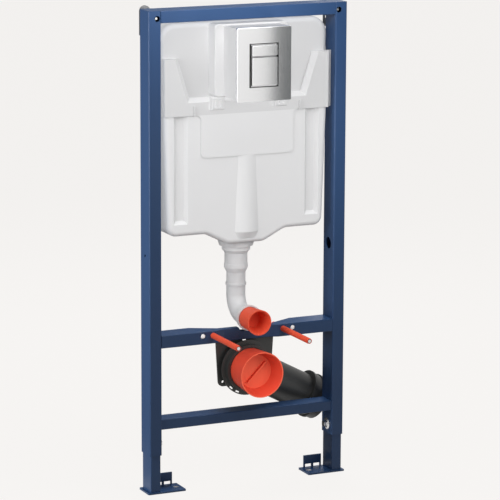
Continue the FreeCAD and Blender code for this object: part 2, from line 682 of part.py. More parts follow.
def leg_bolt(node, side):
    """The hexagon bolt and bevelled washer that clamp a leg in its upright."""
    washer, shank = "washer_diameter / 2", "bolt_diameter / 2"
    tip = "-(tube_wall + leg_clearance - part_gap)"
    points = [
        ("0", tip),
        (shank, tip),
        (shank, "0"),
        (washer, "0"),
        (f"{washer} - washer_bevel", "washer_thickness"),
        ("0", "washer_thickness"),
    ]
    at = (f"{side_x(side)} - {side} * upright_width / 2", "0", "bolt_height")
    body = turned(node, points, at, FACE_RIGHT if side == LEFT else FACE_LEFT)
    head = new_sketch(body, "XY_Plane", "washer_thickness")
    corners = [f"{60 * turn} * 1deg" for turn in range(6)]
    half = "bolt_head_diameter / 2"
    outline(head, [(f"{half} * cos({angle})", f"{half} * sin({angle})") for angle in corners])
    pad(body, head, "bolt_head_length")


def wall_bracket(node, side):
    """An angle of sheet behind an upright, with a round head behind the wall screw."""
    body = new_body(node, (screw_x(side), "0", SCREW_HEIGHT))
    rear = f"({BACK} + bracket_reach)"
    middle = f"({side} * tongue_shift)"
    low_x, high_x = f"{middle} - tongue_width / 2", f"{middle} + tongue_width / 2"
    head = new_sketch(body, "XZ_Plane", f"-{rear}")
    circle(head, ("0", "bracket_rise"), "bracket_width")
    pad(body, head, "bracket_thickness")
    tongue = new_sketch(body, "XZ_Plane", f"-{rear}")
    rectangle(tongue, (low_x, "-bracket_drop"), (high_x, "bracket_rise"))
    pad(body, tongue, "bracket_thickness")
    arm = new_sketch(body, "XZ_Plane", f"-{rear}")
    rectangle(arm, (low_x, "-bracket_drop"), (high_x, "bracket_thickness - bracket_drop"))
    pad(body, arm, "bracket_reach")
    holes = new_sketch(body, "XZ_Plane")
    circle(holes, ("0", "0"), "wall_screw_diameter + 2 * part_gap")
    circle(holes, (middle, "-anchor_drop"), "anchor_hole_diameter")
    pocket(body, holes, f"{rear} + bracket_reach")
    keep(node, body)


def wall_screw(node, side):
    """The screw that sets the frame's distance from the wall."""
    head, shank = "wall_screw_head / 2", "wall_screw_diameter / 2"
    length = "(upright_depth - head_depth + bracket_reach)"
    points = [
        ("0", "0"),
        (shank, "0"),
        (shank, f"{length} - head_length"),
        (head, f"{length} - head_length"),
        (head, length),
        ("0", length),
    ]
    turned(node, points, (screw_x(side), f"{BACK} + bracket_reach", SCREW_HEIGHT), FACE_FRONT)


def tank_outline(sketch, top_half, top):
    """The front of the tank from a given height down: tapered sides, flat bottom and funnel."""
    half = [
        (top_half, top),
        (TANK_LOW_HALF, "cistern_bottom"),
        ("funnel_top_half", "cistern_bottom"),
        ("funnel_low_half", "funnel_low"),
    ]
    outline(sketch, mirrored(half))


def round_tank_foot(body):
    """Round the lower corners of the tank's outline and the bends of its funnel."""
    bottom, funnel = float(sheet.cistern_bottom), float(sheet.funnel_low)
    funnel_half = float(sheet.funnel_top_half)

    def foot_corner(edge):
        middle = edge.CenterOfMass
        return along(edge, "y") and abs(middle.z - bottom) < NEAR and abs(middle.x) > funnel_half + NEAR

    def funnel_bend(edge):
        middle = edge.CenterOfMass
        at_bend = abs(middle.z - funnel) < NEAR or abs(abs(middle.x) - funnel_half) < NEAR
        return along(edge, "y") and at_bend

    fillet(body, "tank_foot_corner", foot_corner)
    fillet(body, "funnel_radius", funnel_bend)


def cistern_body(node):
    """The tank: tapered sides, rounded corners and edges, and a funnel down to the outlet."""
    body = new_body(node, (MID, "0", "0"))
    sketch = new_sketch(body, "XZ_Plane", f"-{TANK_FRONT}")
    tank_outline(sketch, TANK_TOP_HALF, TANK_TOP)
    pad(body, sketch, "cistern_depth", backwards=True)
    solid = body.Tip.Shape.BoundBox
    fillet(body, "tank_corner", lambda edge: along(edge, "y") and edge.CenterOfMass.z > solid.ZMax - NEAR)
    round_tank_foot(body)

    def at_rim(edge):
        y = edge.CenterOfMass.y
        return min(abs(y - solid.YMin), abs(y - solid.YMax)) < NEAR

    fillet(body, "tank_edge", at_rim)
    cavity = new_sketch(body, "XZ_Plane", f"-({TANK_FRONT} + tank_wall)")
    top, bottom = f"({TANK_TOP} - tank_wall)", "(cistern_bottom + tank_wall)"
    top_half, low_half = f"({TANK_TOP_HALF} - tank_wall)", f"({TANK_LOW_HALF} - tank_wall)"
    inside = [
        (f"{top_half} - tank_corner", top),
        (top_half, f"{top} - tank_corner"),
        (low_half, f"{bottom} + tank_foot_corner"),
        (f"{low_half} - tank_foot_corner", bottom),
        ("funnel_top_half - tank_wall", bottom),
        ("funnel_low_half - tank_wall", "funnel_low + tank_wall"),
    ]
    outline(cavity, mirrored(inside))
    pocket(body, cavity, "cistern_depth - 2 * tank_wall")
    outlet = new_sketch(body, "XY_Plane", "funnel_low")
    circle(outlet, ("0", FLUSH_AXIS), "pipe_diameter - 2 * pipe_wall")
    pocket(body, outlet, "2 * tank_wall", backwards=True)
    keep(node, body)


def cover_shell(body):
    """The lower part of the cover: the tank's outline with soft front edges."""
    shell = new_sketch(body, "XZ_Plane", f"-{TANK_FRONT}")
    share = f"(({COVER_STEP} - cistern_bottom) / ({TANK_TOP} - cistern_bottom))"
    tank_outline(shell, f"({TANK_LOW_HALF} + tank_taper * {share})", COVER_STEP)
    pad(body, shell, "cover_thickness")
    round_tank_foot(body)
    top = body.Tip.Shape.BoundBox.ZMax
    foremost = at_front(body)
    fillet(body, "cover_edge", lambda edge: foremost(edge) and edge.CenterOfMass.z < top - NEAR)


def cover_channel(body, side):
    """An upright channel with leaning sides, sunk into the front of the cover."""
    sections = []
    for depth, lean in (("0", "0"), ("channel_depth", "channel_draft")):
        sketch = new_sketch(body, "XZ_Plane", f"-({COVER_FRONT} + {depth})")
        near = f"({side} * (channel_inner + {lean}))"
        far = f"({side} * (channel_inner + channel_width - {lean}))"
        low_x, high_x = (near, far) if side == RIGHT else (far, near)
        rectangle(sketch, (low_x, f"channel_foot + {lean}"), (high_x, COVER_STEP))
        sections.append(sketch)
    loft(body, "SubtractiveLoft", sections)


def cover_ears(body):
    """The raised upper part of the cover: two ears between the uprights and the plate housing."""
    flange = f"({INNER_HALF} - part_gap)"
    ears = new_sketch(body, "XZ_Plane", f"-{TANK_FRONT}")
    half = [
        (f"({flange} - ear_width - ear_slope)", EAR_FOOT),
        (f"({flange} - ear_width)", COVER_TOP),
        (flange, COVER_TOP),
        (flange, COVER_STEP),
    ]
    outline(ears, mirrored(half))
    pad(body, ears, "cover_thickness + ear_raise")
    solid = body.Tip.Shape.BoundBox
    step = solid.ZMax - float(sheet.ear_height) - float(sheet.step_drop)
    foremost = at_front(body)

    def inner_rim(edge):
        middle = edge.CenterOfMass
        between = step + NEAR < middle.z < solid.ZMax - NEAR
        return foremost(edge) and between and abs(middle.x) < solid.XMax - NEAR

    chamfer(body, "ear_chamfer", inner_rim)
    rebate = new_sketch(body, "XZ_Plane", f"-{EAR_FRONT}")
    inner = f"({flange} - ear_rebate)"
    rectangle(rebate, (f"-{flange}", COVER_STEP), (f"-{inner}", COVER_TOP))
    rectangle(rebate, (inner, COVER_STEP), (flange, COVER_TOP))
    pocket(body, rebate, "ear_rebate_depth")
    ribs = new_sketch(body, "XZ_Plane", f"-{EAR_FRONT}")
    for side in (LEFT, RIGHT):
        x = f"({side} * rib_spacing / 2)"
        low = (f"{x} - rib_width / 2", COVER_STEP)
        rectangle(ribs, low, (f"{x} + rib_width / 2", f"{COVER_STEP} + rib_height"))
    pad(body, ribs, "rib_raise")


def label_pad(body):
    """The bare raised pad in the middle of the cover."""
    label = new_sketch(body, "XZ_Plane", f"-{COVER_FRONT}")
    rectangle(label, ("-pad_half", PAD_BOTTOM), ("pad_half", COVER_STEP))
    pad(body, label, "ear_raise")
    half = float(sheet.pad_half)

    def lower_corner(edge):
        return along(edge, "y") and abs(abs(edge.CenterOfMass.x) - half) < NEAR

    fillet(body, "pad_corner", lower_corner)


def cistern_cover(node):
    """The moulded cover: a soft shell with channels, raised ears, a label pad and a bulge."""
    body = new_body(node, (MID, "0", "0"))
    cover_shell(body)
    for side in (LEFT, RIGHT):
        cover_channel(body, side)
    cover_ears(body)
    label_pad(body)
    arches = [
        (PAD_BOTTOM, "bulge_top_half", "bulge_top_raise"),
        ("bulge_low", "bulge_low_half", "bulge_low_raise"),
        ("bulge_foot", "bulge_top_half", "bulge_foot_raise"),
    ]
    sections = []
    for height, half, rise in arches:
        sketch = new_sketch(body, "XY_Plane", height)
        arch(sketch, half, rise, COVER_FRONT, "bulge_sink")
        sections.append(sketch)
    loft(body, "AdditiveLoft", sections)
    keep(node, body)


def shaft_sections(body, start, inset):
    """The back and front of the housing's shaft, which narrows to the flush plate."""
    back = new_sketch(body, "XZ_Plane", f"-{start}")
    half, margin = f"(shaft_half - {inset})", f"(shaft_margin + {inset})"
    rectangle(back, (f"-{half}", f"{BASE_BOTTOM} + {margin}"), (half, f"{BASE_TOP} - {margin}"))
    front = new_sketch(body, "XZ_Plane", f"-{PLATE_BACK}")
    wide, tall = (f"({size} / 2 - shaft_gap - {inset})" for size in ("plate_width", "plate_height"))
    rectangle(front, (f"-{wide}", f"{PLATE_MIDDLE} - {tall}"), (wide, f"{PLATE_MIDDLE} + {tall}"))
    return [back, front]


def plate_housing(node):
    """The hollow housing between tank and flush plate: a wide base and a narrowing shaft."""
    body = new_body(node, (MID, "0", "0"))
    base = new_sketch(body, "XZ_Plane", f"-{TANK_FRONT}")
    rectangle(base, ("-base_half", BASE_BOTTOM), ("base_half", BASE_TOP))
    pad(body, base, "base_depth")
    fillet(body, "base_corner", lambda edge: along(edge, "y"))
    fillet(body, "base_edge", at_front(body))
    loft(body, "AdditiveLoft", shaft_sections(body, BASE_FRONT, "0"))
    hollow = new_sketch(body, "XZ_Plane", f"-{TANK_FRONT}")
    inner_half = "(base_half - housing_wall)"
    rectangle(
        hollow,
        (f"-{inner_half}", f"{BASE_BOTTOM} + housing_wall"),
        (inner_half, f"{BASE_TOP} - housing_wall"),
    )
    pocket(body, hollow, "base_depth - housing_wall", backwards=True)
    loft(body, "SubtractiveLoft", shaft_sections(body, TANK_FRONT, "housing_wall"))
    keep(node, body)


def housing_clip(node, side):
    """A slotted clip that ties the plate housing to the cover below it."""
    body = new_body(node, (f"{MID} + {side} * clip_spacing / 2", "0", BASE_BOTTOM))
    sketch = new_sketch(body, "XZ_Plane", f"-{EAR_FRONT}")
    rectangle(sketch, ("-clip_width / 2", "-clip_height"), ("clip_width / 2", "0"))
    pad(body, sketch, "clip_depth")
    fillet(body, "clip_edge", at_front(body))
    slots = new_sketch(body, "XZ_Plane", f"-({EAR_FRONT} - clip_depth)")
    middle = "(-clip_height / 2)"
    for slot_side in (LEFT, RIGHT):
        x = f"({slot_side} * clip_slot_spacing / 2)"
        rectangle(
            slots,
            (f"{x} - clip_slot_width / 2", f"{middle} - clip_slot_height / 2"),
            (f"{x} + clip_slot_width / 2", f"{middle} + clip_slot_height / 2"),
        )
    pocket(body, slots, "clip_slot_depth")
    keep(node, body)


def flush_plate(node):
    """The plate with its opening for the two buttons."""
    body = new_body(node, (MID, "0", PLATE_MIDDLE))
    sketch = new_sketch(body, "XZ_Plane", f"-{PLATE_BACK}")
    half_width, half_height = "plate_width / 2", "plate_height / 2"
    rectangle(sketch, (f"-{half_width}", f"-{half_height}"), (half_width, half_height))
    pad(body, sketch, "plate_thickness")
    fillet(body, "plate_corner", lambda edge: along(edge, "y"))
    fillet(body, "plate_edge", at_front(body))
    opening = new_sketch(body, "XZ_Plane", f"-{PLATE_FRONT}")
    low = ("-button_width / 2", f"{BUTTON_BOTTOM} - {PLATE_MIDDLE}")
    rectangle(opening, low, ("button_width / 2", f"{BUTTON_TOP} - {PLATE_MIDDLE}"))
    pocket(body, opening, "plate_thickness")
    keep(node, body)


def button(node, bottom, top):
    """A flush button that stands out of the plate's opening, with lips behind the plate."""
    body = new_body(node, (MID, "0", "0"))
    half = "(button_width / 2 - button_gap)"
    lip_half = "(button_width / 2 + button_lip)"
    lip_back = f"({PLATE_BACK} + button_lip_gap + button_lip_depth)"
    sketch = new_sketch(body, "XZ_Plane", f"-{lip_back}")
    rectangle(sketch, (f"-{half}", bottom), (half, top))
    pad(body, sketch, f"{lip_back} - {PLATE_FRONT} + button_proud")
    fillet(body, "button_edge", at_front(body))
    lip = new_sketch(body, "XZ_Plane", f"-{lip_back}")
    rectangle(lip, (f"-{lip_half}", bottom), (lip_half, top))
    pad(body, lip, "button_lip_depth")
    keep(node, body)


def flush_outlet():
    """The collar and ring under the tank, and the socket of the flush pipe."""
    bore, pipe = "(pipe_diameter / 2 - pipe_wall)", "pipe_diameter / 2"
    collar, nut, socket = "collar_diameter / 2", "nut_diameter / 2", "socket_diameter / 2"
    at = (MID, FLUSH_AXIS, SOCKET_TOP)
    collar_foot = "(nut_height + nut_taper)"
    collar_points = [
        (bore, "0"),
        (socket, "0"),
        (nut, "nut_taper"),
        (nut, collar_foot),
        (f"{collar} - collar_taper", collar_foot),
        (collar, f"{collar_foot} + collar_height"),
        (bore, f"{collar_foot} + collar_height"),
    ]
    turned("outlet_collar", collar_points, at)
    band = f"({socket} + band_raise)"
    socket_points = [
        (bore, "0"),
        (socket, "0"),
        (socket, "band_height - socket_height"),
        (band, "band_height - socket_height"),
        (band, "-socket_height"),
        (pipe, "-(socket_height + socket_taper)"),
        (bore, "-(socket_height + socket_taper)"),
    ]
    turned("flush_socket", socket_points, at)


def flush_run(name, diameter):
    """The flush pipe's run as a solid: down, round a bend and forwards to the bell."""
    bend_top = "(flush_height + flush_bend_radius)"
    bend_front = f"({FLUSH_AXIS} - flush_bend_radius)"
    to_front = Rotation(Vector(0, 1, 0), Vector(0, 0, -1), Vector(-1, 0, 0), "XYZ")
    down = rod(name + "_down", diameter, f"{PIPE_TOP} - {bend_top}", (MID, FLUSH_AXIS, bend_top))
    bend = elbow(name + "_bend", "flush_bend_radius", diameter, (MID, bend_front, bend_top), to_front)
    run = f"{bend_front} - ({FRONT} + bell_setback)"
    forward = rod(name + "_forward", diameter, run, (MID, bend_front, "flush_height"), FACE_FRONT)
    return [down, bend, forward]


def flush_pipe(node):
    bead_at = (MID, FLUSH_AXIS, "bead_middle - bead_height / 2")
    bead = rod(node + "_bead", "bead_diameter", "bead_height", bead_at)
    outside = fuse(node + "_outside", flush_run(node + "_outer", "pipe_diameter") + [bead])
    inside = fuse(node + "_inside", flush_run(node + "_inner", "pipe_diameter - 2 * pipe_wall"))
    keep(node, cut(node + "_pipe", outside, inside))


def flush_bell(node):
    """The bell at the end of the flush pipe, with a lip round the seat of its cap."""
    bore, pipe = "(pipe_diameter / 2 - pipe_wall)", "pipe_diameter / 2"
    bell, lip, mouth = "bell_diameter / 2", "bell_lip_diameter / 2", "bell_mouth / 2"
    lip_back = "(bell_length - bell_lip)"
    points = [
        (bore, "0"),
        (pipe, "0"),
        (bell, "bell_flare"),
        (bell, lip_back),
        (lip, lip_back),
        (lip, "bell_length"),
        (mouth, "bell_length"),
        (mouth, "bell_seat"),
        (bore, "bell_seat"),
    ]
    turned(node, points, (MID, f"{FRONT} + bell_setback", "flush_height"), FACE_FRONT)


def cap(node, seat, height):
    """A double-walled cup that closes an inlet, open to the front and narrowing to its floor."""
    back, rim, floor = (f"({node}_{end} / 2)" for end in ("back", "rim", "floor"))
    length = f"({seat} - ({FRONT} - {node}_reach))"
    bottom = f"({length} - {node}_depth)"
    points = [
        ("0", f"{bottom} - cap_wall"),
        (f"{floor} + cap_wall", f"{bottom} - cap_wall"),
        (f"{rim} - cap_wall * 3 / 4", f"{length} - cap_fold"),
        (f"{back} - cap_wall", "0"),
        (back, "0"),
        (rim, length),
        (f"{rim} - cap_wall", length),
        (floor, bottom),
        ("0", bottom),
    ]
    return turned(node, points, (MID, seat, height), FACE_FRONT)


def waste_cap(node, seat):
    """The waste inlet's cap, with a finger rib across its floor."""
    body = cap(node, seat, "waste_height")
    rib = new_sketch(body, "XY_Plane", f"{seat} - ({FRONT} - {node}_reach) - {node}_depth")
    tilted(rib, ("0", "0"), "grip_length", "grip_thickness", "grip_angle")
    pad(body, rib, "grip_height")


def waste_run(name, diameter):
    """The waste pipe's run as a solid, with its outlet level."""
    inlet_front = f"({FRONT} - waste_ring_reach + waste_ring_length)"
    axis = f"({FRONT} + waste_setback)"
    bend_front = f"({axis} - waste_bend_radius)"
    around = Rotation(Vector(-1, 0, 0), Vector(0, 1, 0), Vector(0, 0, -1), "XYZ")
    straight = f"{bend_front} - {inlet_front}"
    inlet = rod(name + "_inlet", diameter, straight, ("0", bend_front, "0"), FACE_FRONT)
    bend_at = ("waste_bend_radius", bend_front, "0")
    bend = elbow(name + "_bend", "waste_bend_radius", diameter, bend_at, around)
    run = "waste_reach - outlet_free - waste_bend_radius"
    outlet = rod(name + "_outlet", diameter, run, ("waste_bend_radius", axis, "0"), FACE_RIGHT)
    return [inlet, bend, outlet]


def fall(item):
    """Turn a piece of the waste about the inlet's axis, so that its outlet falls to the right."""
    item.Placement = Placement(Vector(), Rotation(Vector(0, 1, 0), float(sheet.waste_fall)))
    bind(item, "Placement.Rotation.Angle", "waste_fall * 1deg")
    bind(item, "Placement.Base.x", MID)
    bind(item, "Placement.Base.z", "waste_height")


def waste_bend(node):
    outside = fuse(node + "_outside", waste_run(node + "_outer", "waste_diameter"))
    inside = fuse(node + "_inside", waste_run(node + "_inner", "waste_diameter - 2 * waste_wall"))
    pipe = cut(node + "_pipe", outside, inside)
    fall(pipe)
    keep(node, pipe)


def waste_coupling(node):
    """The coupling over the end of the waste bend: a lipped sleeve and a wider free outlet."""
    y = f"{FRONT} + waste_setback"
    start, end = "(waste_reach - outlet_free - coupling_length)", "(waste_reach - outlet_free)"
    runs = [
        ("sleeve", "coupling_diameter", "coupling_length", start),
        ("back_lip", "coupling_lip_diameter", "coupling_lip", start),
        ("front_lip", "coupling_lip_diameter", "coupling_lip", f"{end} - coupling_lip"),
        ("spigot", "outlet_diameter", "outlet_free", end),
    ]
    bores = [
        ("socket", "waste_diameter + 2 * part_gap", "coupling_length", start),
        ("bore", "outlet_diameter - 2 * waste_wall", "outlet_free", end),
    ]

    def joined(name, rows):
        rods = [
            rod(f"{node}_{part}", diameter, length, (x, y, "0"), FACE_RIGHT)
            for part, diameter, length, x in rows
        ]
        return fuse(f"{node}_{name}", rods)

    coupling = cut(node + "_tube", joined("outside", runs), joined("inside", bores))
    fall(coupling)
    keep(node, coupling)


def waste_ring(node):
    """The clamp ring round the mouth of the waste bend, with a slotted flange at its back."""
    bore, mouth = "(waste_diameter / 2 - waste_wall)", "waste_ring_mouth / 2"
    outer, flange = "waste_ring_diameter / 2", "flange_diameter / 2"
    points = [
        (bore, "0"),
        (flange, "0"),
        (flange, "flange_thickness"),
        (outer, "flange_thickness"),
        (outer, "waste_ring_length"),
        (mouth, "waste_ring_length"),
        (mouth, "waste_ring_seat"),
        (bore, "waste_ring_seat"),
    ]
    at = (MID, f"{FRONT} - waste_ring_reach + waste_ring_length", "waste_height")
    body = turned(node, points, at, FACE_FRONT)
    slots = new_sketch(body, "XY_Plane")
    for turn in range(2):
        angle = f"(flange_slot_angle + {turn} * flange_slot_step)"
        x, y = (f"flange_slot_radius * {ratio}({angle} * 1deg)" for ratio in ("cos", "sin"))
        tilted(slots, (x, y), "flange_slot_length", "flange_slot_width", f"({angle} + 90)")
    pocket(body, slots, "flange_thickness", backwards=True)


def waste_bracket(node):
    """The yoke under the fixing rail that holds the waste bend."""
    body = new_body(node, (MID, "0", "0"))
    sketch = new_sketch(body, "XZ_Plane", f"-({FRONT} + yoke_setback)")
    low = "(waste_height - yoke_drop)"
    outline(sketch, mirrored([("yoke_half", "fixing_rail_bottom"), ("(yoke_half - yoke_taper)", low)]))
    pad(body, sketch, "yoke_thickness", backwards=True)
    bottom = body.Tip.Shape.BoundBox.ZMin
    fillet(body, "yoke_corner", lambda edge: along(edge, "y") and edge.CenterOfMass.z < bottom + NEAR)
    holes = new_sketch(body, "XZ_Plane", f"-({FRONT} + yoke_setback)")
    circle(holes, ("0", "waste_height"), "waste_diameter + 2 * part_gap")
    for side in (LEFT, RIGHT):
        circle(holes, (f"{side} * yoke_lug_half", f"{low} + yoke_lug_rise"), "yoke_lug_hole")
    pocket(body, holes, "yoke_thickness")
    notch = new_sketch(body, "XZ_Plane", f"-({FRONT} + yoke_setback)")
    circle(notch, ("0", "fixing_rail_bottom"), "yoke_notch")
    pocket(body, notch, "yoke_thickness")
    keep(node, body)


def stud(side_name, side):
    """A pan stud through the fixing rail, with a wider threaded tip, and the sleeve on it."""
    x = f"{MID} + {side} * stud_spacing / 2"
    shank, thread = "stud_shank / 2", "stud_diameter / 2"
    length = "(upright_depth + stud_reach)"
    points = [
        ("0", "0"),
        (shank, "0"),
        (shank, f"{length} - sleeve_short"),
        (thread, f"{length} - sleeve_short"),
        (thread, length),
        ("0", length),
    ]
    turned(f"{side_name}_stud", points, (x, BACK, STUD_HEIGHT), FACE_FRONT)
    sleeve = "sleeve_diameter / 2"
    sleeve_end = "(stud_reach - sleeve_short)"
    sleeve_points = [(shank, "0"), (sleeve, "0"), (sleeve, sleeve_end), (shank, sleeve_end)]
    turned(f"{side_name}_stud_sleeve", sleeve_points, (x, FRONT, STUD_HEIGHT), FACE_FRONT)


def build():
    fill_sheet()
    for side_name, side in (("left", LEFT), ("right", RIGHT)):
        upright(f"{side_name}_upright", side)
        leg(f"{side_name}_leg", side)
        foot(f"{side_name}_foot", side)
        leg_bolt(f"{side_name}_leg_bolt", side)
        wall_bracket(f"{side_name}_wall_bracket", side)
        wall_screw(f"{side_name}_wall_screw", side)
        housing_clip(f"{side_name}_housing_clip", side)
        stud(side_name, side)
    cross_tube("top_rail", "frame_height - top_rail_height", "top_rail_height", "upright_depth")
    cross_tube("lower_rail", "lower_rail_bottom", "lower_rail_height", "lower_rail_depth")
    fixing_rail("fixing_rail")
    cistern_body("cistern_body")
    cistern_cover("cistern_cover")
    plate_housing("plate_housing")
    flush_plate("flush_plate")
    button("small_button", f"{BUTTON_SPLIT} + button_split", f"{BUTTON_TOP} - button_gap")
    button("large_button", f"{BUTTON_BOTTOM} + button_gap", f"{BUTTON_SPLIT} - button_split")
    flush_outlet()
    flush_pipe("flush_pipe")
    flush_bell("flush_bell")
    cap("flush_cap", f"({FRONT} + bell_setback - bell_seat)", "flush_height")
    waste_bracket("waste_bracket")
    waste_ring("waste_ring")
    waste_bend("waste_bend")
    waste_coupling("waste_coupling")
    waste_cap("waste_cap", f"({FRONT} - waste_ring_reach + waste_ring_length - waste_ring_seat)")
    doc.recompute()


def check():
    """Stop if any object of the document failed, or a sub-part isn't one valid solid."""
    failed = [item.Name for item in doc.Objects if {"Invalid", "Error"} & set(item.State)]
    for node, item in pieces.items():
        shape = item.Shape
        if shape.isNull() or not shape.isValid() or len(shape.Solids) != 1:
            failed.append(node)
    if failed:
        raise RuntimeError(f"these did not build: {failed}")


def export():
    os.makedirs("parts", exist_ok=True)
    for node, item in pieces.items():
        item.Shape.exportStep(f"parts/{node}.step")


build()
check()
export()
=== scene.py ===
"""Looks of a wall hung toilet frame: powder-coated steel, moulded cistern, chrome flush plate and plumbing.

Metres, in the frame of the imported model: X to the right, Y to the wall, Z up, the floor at Z = 0.
"""
import json
import math

import bpy
from mathutils import Euler, Matrix, Vector


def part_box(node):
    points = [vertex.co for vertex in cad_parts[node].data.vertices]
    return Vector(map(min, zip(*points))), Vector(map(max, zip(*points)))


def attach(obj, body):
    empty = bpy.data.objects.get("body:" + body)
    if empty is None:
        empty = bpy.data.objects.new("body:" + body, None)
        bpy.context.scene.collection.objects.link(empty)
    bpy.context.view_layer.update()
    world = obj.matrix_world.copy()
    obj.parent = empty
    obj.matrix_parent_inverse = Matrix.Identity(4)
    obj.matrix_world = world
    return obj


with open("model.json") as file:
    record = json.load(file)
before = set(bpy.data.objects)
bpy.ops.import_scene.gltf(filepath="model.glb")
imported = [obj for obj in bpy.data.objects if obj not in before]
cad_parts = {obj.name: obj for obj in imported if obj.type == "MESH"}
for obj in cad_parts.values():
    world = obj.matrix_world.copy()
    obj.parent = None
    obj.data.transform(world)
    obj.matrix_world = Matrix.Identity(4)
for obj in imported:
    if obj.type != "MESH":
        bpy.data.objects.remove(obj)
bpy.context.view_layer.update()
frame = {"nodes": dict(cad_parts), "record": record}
nodes = frame["nodes"]
scene = bpy.context.scene

# the photograph's viewpoint
CAMERA_PLACE = (-2.5004, -5.9218, 1.8935)
CAMERA_PITCH = math.radians(11.581)
CAMERA_TURN = math.radians(24.92)
CAMERA_ROLL = math.radians(0.226)
SENSOR_WIDTH = 36.0
PHOTO_WIDTH = 500.0
FOCAL_PIXELS = 2853.0
CLIP_END = 200.0

# colours, linear
BACKGROUND = (0.913, 0.896, 0.879)
FLOOR = (0.28, 0.277, 0.273)
BLUE = (0.0267, 0.0677, 0.1675)
PLUG = (0.90, 0.89, 0.88)
COVER = (0.66, 0.66, 0.665)
# the cover's white made darker above its step as painted shade
SHADED_COVER_WHITE = (0.575, 0.575, 0.58)
TANK = (0.55, 0.55, 0.555)
HOUSING = (0.62, 0.62, 0.625)
COLLAR = (0.72, 0.72, 0.725)
# the flush pipe's grey-white, made darker as painted shade
PIPE_GREY_AND_SHADE = (0.595, 0.595, 0.6)
SOCKET_GREY = (0.64, 0.64, 0.645)
RED = (0.80, 0.098, 0.046)
# painted light and shade on the waste cap: a darker red for its wall, a paler red for its front-facing
# floor
CAP_SHADED_WALL = (0.70, 0.07, 0.036)
CAP_LIT_FLOOR = (0.86, 0.135, 0.07)
BLACK = (0.026, 0.027, 0.026)
# black painted shade: in and round the flush plate's opening, between the buttons, on the wall screws'
# heads and round the studs' tips
PAINTED_SHADE = (0.004, 0.004, 0.004)
# galvanised grey, made darker as painted shade
ZINC_AND_SHADE = (0.26, 0.26, 0.26)
BARE = (0.85, 0.85, 0.85)
BRIGHT = (0.72, 0.72, 0.72)
CHROME = (0.885, 0.895, 0.91)
CARD = (0.125, 0.13, 0.13)
DARK_CARD = (0.2, 0.2, 0.2)
LEG_CARD = (0.05, 0.05, 0.05)
FILL = (0.09, 0.09, 0.09)

# the floor: half its side, how much of it shows the background colour, and what makes up for the rest
FLOOR_HALF = 60.0
GLOW_SHARE = 0.9
GLOW_TINT = 1.083

# grain of the mouldings and coats: detail and usual range of the noise, cycles a metre of the patches of
# colour, and strength of the bump
NOISE_DETAIL = 4.0
NOISE_RANGE = (0.3, 0.7)
PATCHES = 7.0
GRAIN_STRENGTH = 0.25

# parts of a surface's normal along Y that tell a front face and a side wall
FRONT_FACE = -0.7
SIDE_WALL = 0.5

# places on the piece that its colours follow, in metres, and reaches round an axis or a middle
COVER_STEP = 0.884
MIDDLE = 0.235
BUTTONS_HEIGHT = 1.005
OPENING_HALF = (0.034, 0.0485)
OPENING_DEPTH = -0.1065
# the rim of painted shade round the opening: its shift to the left and its half sizes, and the half height
# of the painted shade at the buttons' seam
OPENING_SHIFT = -0.0013
OPENING_RIM = (0.0365, 0.0504)
SEAM_HALF = 0.0018
# radii of the bright middles of the screw heads and stud tips, with painted shade outside them, and of the
# ring past which a stud is painted the sleeve's red
SCREW_TIP = 0.0028
STUD_TIP = 0.0039
STUD_RING = 0.0051
SPARE_HOLE_AWAY = 0.115
SPARE_HOLE_HEIGHT = 0.366
FLOOR_HOLE_AWAY = 0.1735
FLOOR_HOLE_REACH = 0.0062
FOOT_TOP = 0.0039

# a hole plug: corners round it, and its radius and depth behind the rail's front, from the middle of its
# face round to the middle of its back
PLUG_SIDES = 32
PLUG_PROFILE = [
    (0.0002, 0.0003),
    (0.003, 0.0005),
    (0.005, 0.0011),
    (0.0061, 0.0022),
    (0.0062, 0.008),
    (0.0002, 0.008),
]


